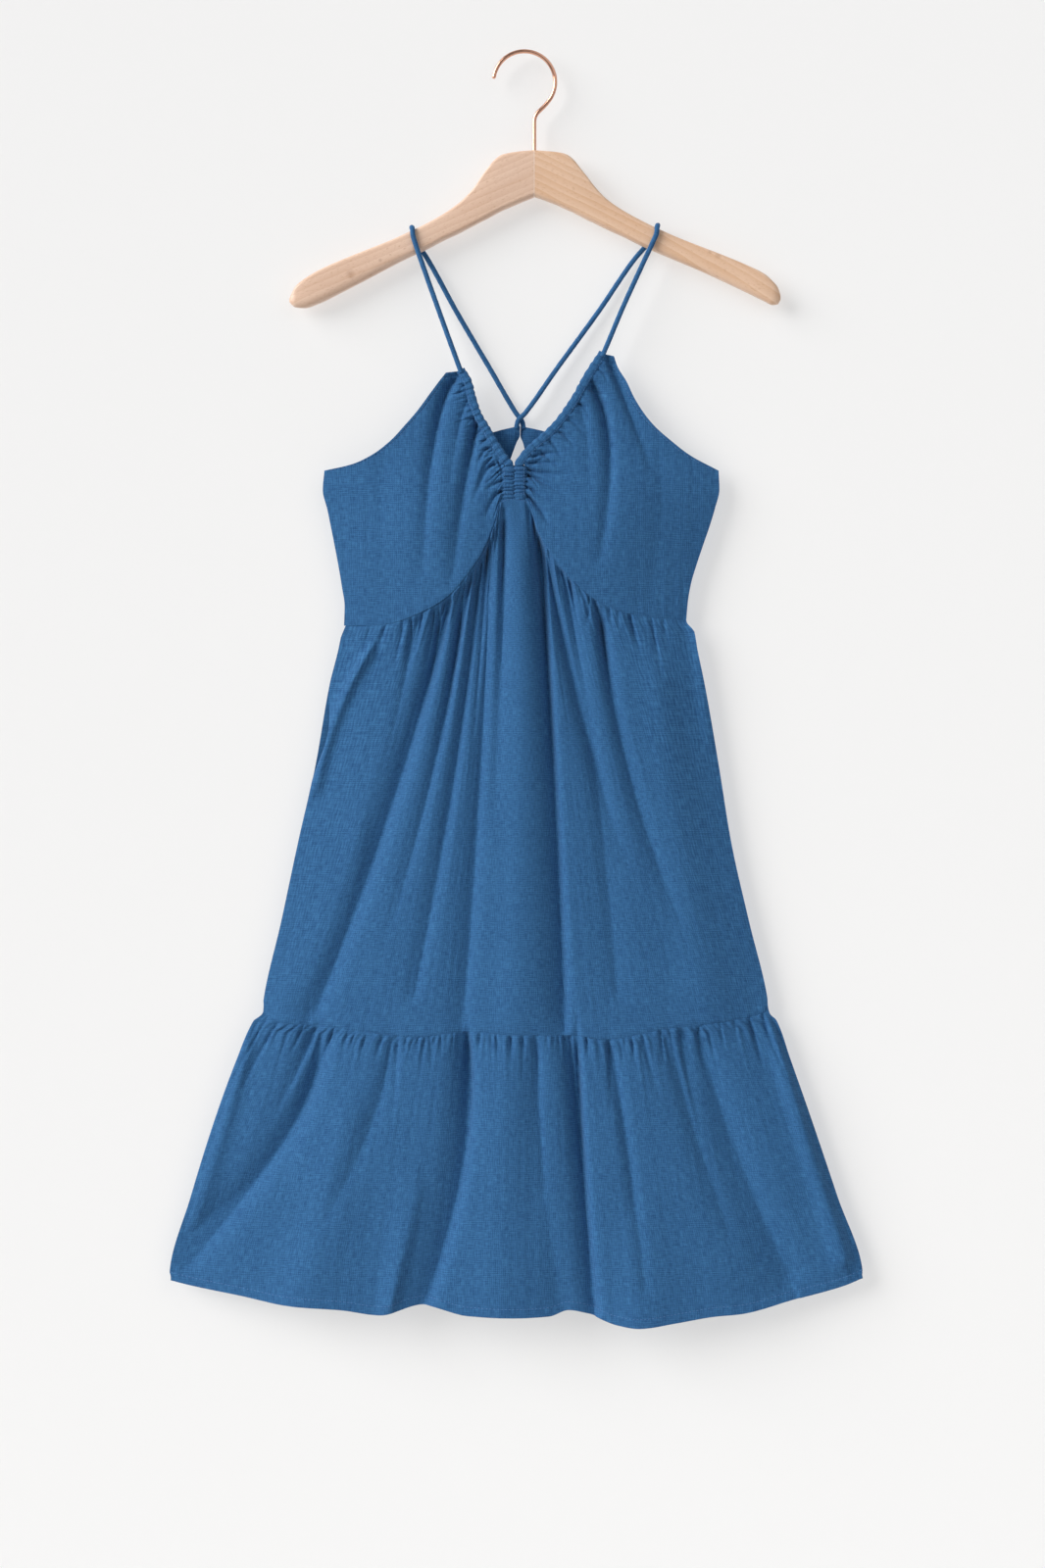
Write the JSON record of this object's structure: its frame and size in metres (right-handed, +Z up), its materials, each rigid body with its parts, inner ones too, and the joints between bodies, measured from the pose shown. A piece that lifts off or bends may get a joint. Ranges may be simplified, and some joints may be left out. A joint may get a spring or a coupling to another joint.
{
  "type": "spaghetti strap dress on a wooden hanger",
  "caption": "Tiered summer dress with gathered V neck, thin crossed straps and ruffle hem, hanging hollow on a wooden hanger with a wire hook.",
  "frame": {"origin": "inside top of the hook, where a pin or rail carries it", "axes": "+Z up along the hanging dress, +Y from the dress's front to its back, +X to the right seen from the front"},
  "size_m": [0.6351, 0.0461, 1.1696],
  "materials": {
    "linen": "washed plain weave",
    "beech": "satin lacquer",
    "hook_wire": "polished rose gold plating"
  },
  "bodies": {
    "root": {"hanger_arm_left": "beech", "hanger_arm_right": "beech", "hanger_hook": "hook_wire", "strap_left": "linen", "strap_right": "linen", "neck_casing_left": "linen", "neck_casing_right": "linen", "centre_casing_left": "linen", "centre_casing_right": "linen", "front_cup_left": "linen", "front_cup_right": "linen", "back_bodice_left": "linen", "back_bodice_right": "linen", "skirt_front": "linen", "skirt_back": "linen", "ruffle_front": "linen", "ruffle_back": "linen"}
  },
  "joints": []
}
